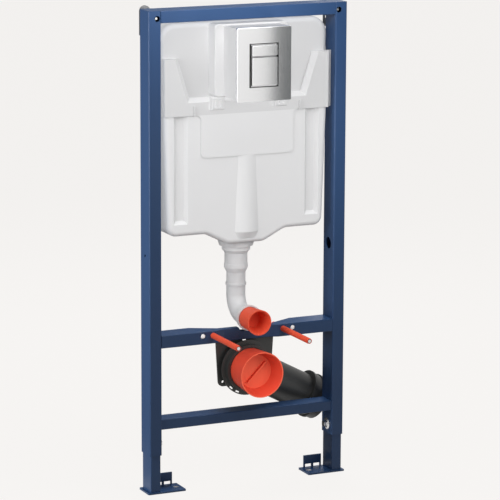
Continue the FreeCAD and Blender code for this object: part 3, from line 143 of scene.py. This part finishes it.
class Shader:
    """A material with a Principled shader, and short ways to feed its sockets."""

    def __init__(self, name):
        self.material = bpy.data.materials.new(name)
        self.material.use_nodes = True
        self.tree = self.material.node_tree
        self.principled = self.tree.nodes["Principled BSDF"]
        self.place = self.add("ShaderNodeTexCoord").outputs["Object"]

    def add(self, kind, **inputs):
        node = self.tree.nodes.new(kind)
        for name, value in inputs.items():
            node.inputs[name].default_value = value
        return node

    def link(self, start, end):
        self.tree.links.new(start, end)

    def set(self, name, value):
        self.principled.inputs[name].default_value = value

    def noise(self, scale):
        """Noise at a scale given in cycles a metre."""
        texture = self.add("ShaderNodeTexNoise", Scale=scale, Detail=NOISE_DETAIL)
        self.link(self.place, texture.inputs["Vector"])
        return texture.outputs["Fac"]

    def span(self, value, low, high):
        """A value from noise, spread over a range."""
        node = self.add("ShaderNodeMapRange")
        node.inputs["From Min"].default_value = NOISE_RANGE[0]
        node.inputs["From Max"].default_value = NOISE_RANGE[1]
        node.inputs["To Min"].default_value = low
        node.inputs["To Max"].default_value = high
        self.link(value, node.inputs["Value"])
        return node.outputs["Result"]

    def mixed(self, value, first, second):
        node = self.add("ShaderNodeMix")
        node.data_type = "RGBA"
        node.inputs["A"].default_value = (*first, 1.0)
        node.inputs["B"].default_value = (*second, 1.0)
        self.link(value, node.inputs["Factor"])
        return node.outputs["Result"]

    def math(self, operation, value, number):
        """A value put through a sum or test with a number."""
        node = self.add("ShaderNodeMath")
        node.operation = operation
        self.link(value, node.inputs[0])
        node.inputs[1].default_value = number
        return node.outputs["Value"]

    def joined(self, operation, first, second):
        node = self.add("ShaderNodeMath")
        node.operation = operation
        self.link(first, node.inputs[0])
        self.link(second, node.inputs[1])
        return node.outputs["Value"]

    def axis(self, vector, name):
        node = self.add("ShaderNodeSeparateXYZ")
        self.link(vector, node.inputs["Vector"])
        return node.outputs[name]

    def within(self, name, middle, half):
        """One where a place lies near a middle along an axis, zero elsewhere."""
        away = self.math("SUBTRACT", self.axis(self.place, name), middle)
        return self.math("LESS_THAN", self.math("ABSOLUTE", away, 0.0), half)

    def aside(self, away):
        """Sideways offset from a pair of axes, each at the same distance from the middle."""
        off_middle = self.math("SUBTRACT", self.axis(self.place, "X"), MIDDLE)
        return self.math("SUBTRACT", self.math("ABSOLUTE", off_middle, 0.0), away)

    def above(self, height):
        return self.math("SUBTRACT", self.axis(self.place, "Z"), height)

    def round(self, aside, up, test, reach):
        """One where a place passes a test of its distance from an axis, zero elsewhere."""
        squares = [self.joined("MULTIPLY", side, side) for side in (aside, up)]
        return self.math(test, self.joined("ADD", *squares), reach ** 2)

    def paint(self, colour, mask=None):
        """Feed the base colour, or change it to a plain colour where a mask is one."""
        socket = self.principled.inputs["Base Color"]
        if mask:
            node = self.add("ShaderNodeMix")
            node.data_type = "RGBA"
            self.link(socket.links[0].from_socket, node.inputs["A"])
            node.inputs["B"].default_value = (*colour, 1.0)
            self.link(mask, node.inputs["Factor"])
            colour = node.outputs["Result"]
        self.link(colour, socket)

    def bump(self, height, strength, distance):
        node = self.add("ShaderNodeBump", Strength=strength, Distance=distance)
        self.link(height, node.inputs["Height"])
        self.link(node.outputs["Normal"], self.principled.inputs["Normal"])


def tint(colour, share):
    return tuple(channel * share for channel in colour)


def coated(name, colour, spread, rough, grain, depth):
    """A coat or moulding with faint variation of its colour, gloss and surface."""
    shader = Shader(name)
    patches = shader.noise(PATCHES)
    shader.paint(shader.mixed(patches, tint(colour, 1.0 - spread), tint(colour, 1.0 + spread)))
    fine = shader.noise(grain)
    shader.link(shader.span(fine, *rough), shader.principled.inputs["Roughness"])
    shader.bump(fine, GRAIN_STRENGTH, depth)
    return shader


def blue_steel():
    """Blue coat, bare in the floor bolt holes of the feet."""
    shader = coated("blue_powder_coat", BLUE, 0.05, (0.36, 0.44), 900.0, 0.0003)
    shader.set("Specular IOR Level", 0.32)
    depth = shader.axis(shader.place, "Y")
    in_hole = shader.round(shader.aside(FLOOR_HOLE_AWAY), depth, "LESS_THAN", FLOOR_HOLE_REACH)
    low = shader.math("LESS_THAN", shader.axis(shader.place, "Z"), FOOT_TOP)
    shader.paint(BARE, shader.joined("MULTIPLY", in_hole, low))
    return shader.material


def pale_plastic(name, colour):
    shader = coated(name, colour, 0.015, (0.42, 0.5), 400.0, 0.0002)
    shader.set("Specular IOR Level", 0.3)
    shader.set("Subsurface Weight", 0.15)
    shader.set("Subsurface Radius", (0.004, 0.004, 0.004))
    return shader


def pipe_plastic(name, colour):
    """Milky moulding that lets more light through."""
    shader = pale_plastic(name, colour)
    shader.set("Subsurface Weight", 0.7)
    shader.set("Subsurface Radius", (0.015, 0.015, 0.015))
    return shader.material


def cover_plastic():
    """White below the cover's step, darker above it as painted shade."""
    shader = pale_plastic("cover_moulding", COVER)
    # painted shade: the cover darker above its step
    shaded_upper = shader.math("GREATER_THAN", shader.axis(shader.place, "Z"), COVER_STEP)
    shader.paint(SHADED_COVER_WHITE, shaded_upper)
    return shader.material


def red_plastic(name, colour):
    shader = coated(name, colour, 0.04, (0.42, 0.5), 500.0, 0.0002)
    shader.set("Specular IOR Level", 0.2)
    return shader


def cap_plastic():
    """Red with painted light and shade: paler on the waste cap's floor, which faces the front, than on its
    wall.
    """
    shader = red_plastic("cap_moulding", CAP_SHADED_WALL)
    facing = shader.axis(shader.add("ShaderNodeNewGeometry").outputs["Normal"], "Y")
    # painted light: faces that point to the front, as the floor does, paler than the rest
    shader.paint(CAP_LIT_FLOOR, shader.math("LESS_THAN", facing, FRONT_FACE))
    return shader.material


def black_plastic():
    return coated("black_moulding", BLACK, 0.12, (0.36, 0.5), 500.0, 0.0003).material


def metal(name, colour, spread, rough):
    shader = coated(name, colour, spread, rough, 300.0, 0.00005)
    shader.set("Metallic", 1.0)
    return shader


def plate_chrome():
    """Matt chrome, with painted shade: black in the plate's opening, on a thin rim round it and between the
    buttons.
    """
    shader = metal("matt_chrome", CHROME, 0.01, (0.11, 0.13))
    facing = shader.axis(shader.add("ShaderNodeNewGeometry").outputs["Normal"], "Y")
    # painted shade: black on the opening's walls and deep in it, on a thin rim round it and on a band at
    # the seam between the buttons
    wall = shader.math("LESS_THAN", shader.math("ABSOLUTE", facing, 0.0), SIDE_WALL)
    deep = shader.math("GREATER_THAN", shader.axis(shader.place, "Y"), OPENING_DEPTH)
    across = shader.within("X", MIDDLE, OPENING_HALF[0])
    upright = shader.within("Z", BUTTONS_HEIGHT, OPENING_HALF[1])
    inside = shader.joined("MULTIPLY", across, upright)
    shaded_hollow = shader.joined("MULTIPLY", inside, shader.joined("MAXIMUM", wall, deep))
    rim_across = shader.within("X", MIDDLE + OPENING_SHIFT, OPENING_RIM[0])
    rim_upright = shader.within("Z", BUTTONS_HEIGHT, OPENING_RIM[1])
    shade_rim = shader.joined("SUBTRACT", shader.joined("MULTIPLY", rim_across, rim_upright), inside)
    shader.paint(PAINTED_SHADE, shader.joined("MAXIMUM", shaded_hollow, shade_rim))
    seam_height = (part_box("small_button")[0][2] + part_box("large_button")[1][2]) / 2
    shader.paint(PAINTED_SHADE, shader.joined("MULTIPLY", across, shader.within("Z", seam_height, SEAM_HALF)))
    return shader.material


def box_centre(node):
    low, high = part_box(node)
    return (Vector(low) + Vector(high)) / 2


def screw_steel():
    """Bright steel, with painted shade: a dark rim on the heads of the wall screws, where they sit in their
    holes.
    """
    shader = metal("screw_zinc", BRIGHT, 0.05, (0.18, 0.3))
    centre = box_centre("left_wall_screw")
    aside, up = shader.aside(MIDDLE - centre.x), shader.above(centre.z)
    # painted shade: dark outside the head's bright middle, where the screw lies in front of Y = 0 in its
    # hole
    shade_rim = shader.round(aside, up, "GREATER_THAN", SCREW_TIP)
    head = shader.math("LESS_THAN", shader.axis(shader.place, "Y"), 0.0)
    shader.paint(PAINTED_SHADE, shader.joined("MULTIPLY", shade_rim, head))
    return shader.material


def stud_steel():
    """Bright steel in the middle of the studs' tips, within a ring of painted shade and the sleeve's red.
    """
    shader = metal("stud_zinc", BRIGHT, 0.05, (0.18, 0.3))
    centre = box_centre("left_stud")
    aside, up = shader.aside(MIDDLE - centre.x), shader.above(centre.z)
    # painted shade: a dark ring round the bright middle of each stud's tip
    shader.paint(PAINTED_SHADE, shader.round(aside, up, "GREATER_THAN", STUD_TIP))
    shader.paint(RED, shader.round(aside, up, "GREATER_THAN", STUD_RING))
    shader.link(shader.round(aside, up, "LESS_THAN", STUD_RING), shader.principled.inputs["Metallic"])
    return shader.material


MATERIALS = {
    "blue_steel": blue_steel(),
    # the galvanised grey made darker as painted shade
    "galvanised_steel": metal("galvanised", ZINC_AND_SHADE, 0.14, (0.35, 0.55)).material,
    "bright_steel": metal("bright_zinc", BRIGHT, 0.05, (0.18, 0.3)).material,
    "white_plastic": pale_plastic("housing_moulding", HOUSING).material,
    "chrome": plate_chrome(),
    "red_plastic": red_plastic("red_moulding", RED).material,
    "black_plastic": black_plastic(),
}


def dress_nodes():
    """Give every carried-over piece the material of its slot, or one of its own."""
    # the flush pipe and bell: their grey-white made darker as painted shade
    pipe = pipe_plastic("pipe_moulding", PIPE_GREY_AND_SHADE)
    socket = pipe_plastic("socket_moulding", SOCKET_GREY)
    shades = {node: pipe for node in ("flush_pipe", "flush_bell")}
    shades["outlet_collar"] = pipe_plastic("collar_moulding", COLLAR)
    shades["flush_socket"] = socket
    shades["waste_cap"] = cap_plastic()
    shades["cistern_body"] = pale_plastic("tank_moulding", TANK).material
    shades["cistern_cover"] = cover_plastic()
    screw = screw_steel()
    shades.update({node: screw for node in ("left_wall_screw", "right_wall_screw")})
    stud = stud_steel()
    shades.update({node: stud for node in ("left_stud", "right_stud")})
    for row in frame["record"]["subparts"]:
        mesh = nodes[row["node"]].data
        mesh.materials.clear()
        mesh.materials.append(shades.get(row["node"], MATERIALS[row["material_slot"]]))


def make_plugs():
    """Pale domed plugs in the spare stud holes of the fixing rail."""
    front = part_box("fixing_rail")[0][1]
    material = pale_plastic("plug_moulding", PLUG).material
    for side, way in (("left", -1), ("right", 1)):
        points = []
        for radius, depth in PLUG_PROFILE:
            for step in range(PLUG_SIDES):
                turn = 2 * math.pi * step / PLUG_SIDES
                across = MIDDLE + way * SPARE_HOLE_AWAY + radius * math.cos(turn)
                points.append((across, front + depth, SPARE_HOLE_HEIGHT + radius * math.sin(turn)))
        faces = [tuple(range(PLUG_SIDES)), tuple(reversed(range(len(points) - PLUG_SIDES, len(points))))]
        for ring in range(len(PLUG_PROFILE) - 1):
            for step in range(PLUG_SIDES):
                here, there = ring * PLUG_SIDES + step, ring * PLUG_SIDES + (step + 1) % PLUG_SIDES
                faces.append((there, here, here + PLUG_SIDES, there + PLUG_SIDES))
        mesh = bpy.data.meshes.new(f"{side}_hole_plug")
        mesh.from_pydata(points, [], faces)
        mesh.shade_smooth()
        mesh.materials.append(material)
        plug = bpy.data.objects.new(f"{side}_hole_plug", mesh)
        scene.collection.objects.link(plug)
        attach(plug, "frame")


def stage_material():
    """Background colour to the eye and in reflections, pale and matt to other light."""
    material = bpy.data.materials.new("floor")
    material.use_nodes = True
    tree = material.node_tree
    tree.nodes.clear()
    output = tree.nodes.new("ShaderNodeOutputMaterial")
    path = tree.nodes.new("ShaderNodeLightPath")
    matt = tree.nodes.new("ShaderNodeBsdfDiffuse")
    matt.inputs["Color"].default_value = (*FLOOR, 1.0)
    glow = tree.nodes.new("ShaderNodeEmission")
    glow.inputs["Color"].default_value = (*tint(BACKGROUND, GLOW_TINT), 1.0)
    mix = tree.nodes.new("ShaderNodeMixShader")
    seen = tree.nodes.new("ShaderNodeMath")
    seen.operation = "MAXIMUM"
    share = tree.nodes.new("ShaderNodeMath")
    share.operation = "MULTIPLY"
    share.inputs[1].default_value = GLOW_SHARE
    tree.links.new(path.outputs["Is Camera Ray"], seen.inputs[0])
    tree.links.new(path.outputs["Is Glossy Ray"], seen.inputs[1])
    tree.links.new(seen.outputs[0], share.inputs[0])
    tree.links.new(share.outputs[0], mix.inputs["Fac"])
    tree.links.new(matt.outputs["BSDF"], mix.inputs[1])
    tree.links.new(glow.outputs["Emission"], mix.inputs[2])
    tree.links.new(mix.outputs["Shader"], output.inputs["Surface"])
    return material


def make_floor():
    mesh = bpy.data.meshes.new("floor")
    corners = [(x * FLOOR_HALF, y * FLOOR_HALF, 0.0) for x, y in ((-1, -1), (1, -1), (1, 1), (-1, 1))]
    mesh.from_pydata(corners, [], [(0, 1, 2, 3)])
    mesh.materials.append(stage_material())
    floor = bpy.data.objects.new("floor", mesh)
    scene.collection.objects.link(floor)


def make_world():
    """Even fill light, and the background colour where the eye or a reflection meets the sky."""
    world = bpy.data.worlds.new("studio")
    scene.world = world
    world.use_nodes = True
    tree = world.node_tree
    shade = tree.nodes["Background"]
    path = tree.nodes.new("ShaderNodeLightPath")
    seen = tree.nodes.new("ShaderNodeMath")
    seen.operation = "MAXIMUM"
    mix = tree.nodes.new("ShaderNodeMix")
    mix.data_type = "RGBA"
    mix.inputs["A"].default_value = (*FILL, 1.0)
    mix.inputs["B"].default_value = (*BACKGROUND, 1.0)
    tree.links.new(path.outputs["Is Camera Ray"], seen.inputs[0])
    tree.links.new(path.outputs["Is Glossy Ray"], seen.inputs[1])
    tree.links.new(seen.outputs[0], mix.inputs["Factor"])
    tree.links.new(mix.outputs["Result"], shade.inputs["Color"])


def mirror_card(name, colour, corner, size):
    """An upright card that only reflections see."""
    material = bpy.data.materials.new(name)
    material.use_nodes = True
    tree = material.node_tree
    tree.nodes.clear()
    glow = tree.nodes.new("ShaderNodeEmission")
    glow.inputs["Color"].default_value = (*colour, 1.0)
    output = tree.nodes.new("ShaderNodeOutputMaterial")
    tree.links.new(glow.outputs["Emission"], output.inputs["Surface"])
    left, y, bottom = corner
    right, top = left + size[0], bottom + size[1]
    mesh = bpy.data.meshes.new(name)
    corners = [(left, y, bottom), (right, y, bottom), (right, y, top), (left, y, top)]
    mesh.from_pydata(corners, [], [(0, 1, 2, 3)])
    mesh.materials.append(material)
    card = bpy.data.objects.new(name, mesh)
    card.visible_camera = False
    card.visible_diffuse = False
    card.visible_transmission = False
    card.visible_shadow = False
    scene.collection.objects.link(card)


def make_cards():
    """Cards for the right half of the flush plate, behind the frame's sides and behind the right leg."""
    mirror_card("grey_card", CARD, (0.638, -0.92, 0.25), (1.1, 1.5))
    mirror_card("dark_card", DARK_CARD, (-0.6, 0.4, 0.0), (1.2, 1.3))
    mirror_card("left_card", DARK_CARD, (-0.6, 0.1, 0.0), (0.56, 1.3))
    mirror_card("leg_card", LEG_CARD, (0.15, 0.1, 0.0), (0.28, 0.15))


def area_light(name, place, aim, size, power):
    lamp = bpy.data.lights.new(name, "AREA")
    lamp.shape = "RECTANGLE"
    lamp.size, lamp.size_y = size
    lamp.energy = power
    item = bpy.data.objects.new(name, lamp)
    item.location = place
    item.rotation_euler = (Vector(aim) - Vector(place)).to_track_quat("-Z", "Y").to_euler()
    scene.collection.objects.link(item)
    return item


def light_group(name, pieces, state):
    """Pieces as a group that a lamp lights alone or leaves out, or that casts no shadow in it."""
    group = bpy.data.collections.new(name)
    for piece in pieces:
        group.objects.link(nodes[piece])
    for item in group.collection_objects:
        item.light_linking.link_state = state
    return group


def of_slot(slot):
    return [row["node"] for row in frame["record"]["subparts"] if row["material_slot"] == slot]


def make_lights():
    """Soft lamps for all but the blue steel, three for it alone, one behind, and a fill for the whites."""
    key = area_light("key", (1.6, -2.4, 1.9), (0.25, 0.0, 0.7), (2.0, 2.0), 52.0)
    side = area_light("side", (-2.4, -0.9, 1.4), (0.2, 0.0, 0.8), (1.8, 1.8), 48.0)
    high = area_light("high", (-1.3, -2.2, 2.6), (MIDDLE, 0.0, 0.7), (1.8, 1.8), 21.0)
    top = area_light("top", (MIDDLE, -0.6, 2.8), (MIDDLE, 0.0, 0.7), (1.6, 1.2), 16.0)
    not_steel = light_group("all_but_steel", of_slot("blue_steel"), "EXCLUDE")
    box = ["plate_housing", "flush_plate", "left_housing_clip", "right_housing_clip"]
    open_box = light_group("no_box_shadow", box + ["top_rail"], "EXCLUDE")
    for lamp in (key, side, high, top):
        lamp.light_linking.receiver_collection = not_steel
        lamp.light_linking.blocker_collection = open_box
    open_side = light_group("no_side_shadow", box + of_slot("blue_steel"), "EXCLUDE")
    side.light_linking.blocker_collection = open_side
    steel_front = area_light("steel_front", (0.17, -0.32, 1.3), (0.18, 0.0, 1.04), (0.5, 0.12), 2.5)
    steel_right = area_light("steel_right", (0.4, -0.4, 0.8), (0.47, 0.0, 0.7), (0.15, 0.4), 0.95)
    steel_left = area_light("steel_left", (-1.5, -0.05, 0.85), (0.0, 0.0, 0.8), (0.7, 0.7), 26.0)
    steel_alone = light_group("steel_alone", of_slot("blue_steel"), "INCLUDE")
    for lamp in (steel_front, steel_right, steel_left):
        lamp.visible_camera = False
        lamp.light_linking.receiver_collection = steel_alone
    lit_from_left = [piece for piece in of_slot("blue_steel") if piece != "right_leg"]
    steel_left.light_linking.receiver_collection = light_group("lit_from_left", lit_from_left, "INCLUDE")
    back = area_light("back", (1.1, 1.9, 2.2), (MIDDLE, 0.0, 0.6), (1.4, 1.2), 62.0)
    back.visible_glossy = False
    shy = box + of_slot("red_plastic") + ["flush_pipe", "flush_bell", "cistern_cover"]
    back.light_linking.receiver_collection = light_group("not_from_behind", shy, "EXCLUDE")
    fill = area_light("fill", (-1.6, -3.6, 1.5), (MIDDLE, 0.0, 0.8), (2.0, 2.0), 29.0)
    fill.data.use_shadow = False
    filled = of_slot("white_plastic") + ["waste_cap"]
    fill.light_linking.receiver_collection = light_group("filled", filled, "INCLUDE")


def make_camera():
    camera = bpy.data.cameras.new("camera")
    camera.sensor_width = SENSOR_WIDTH
    camera.lens = FOCAL_PIXELS / PHOTO_WIDTH * SENSOR_WIDTH
    camera.clip_end = CLIP_END
    item = bpy.data.objects.new("camera", camera)
    item.location = CAMERA_PLACE
    aim = Euler((math.pi / 2 - CAMERA_PITCH, 0.0, -CAMERA_TURN)).to_matrix()
    item.rotation_euler = (aim @ Matrix.Rotation(CAMERA_ROLL, 3, "Z")).to_euler()
    scene.collection.objects.link(item)
    scene.camera = item


scene.view_settings.view_transform = "Standard"
dress_nodes()
make_plugs()
make_floor()
make_world()
make_cards()
make_lights()
make_camera()
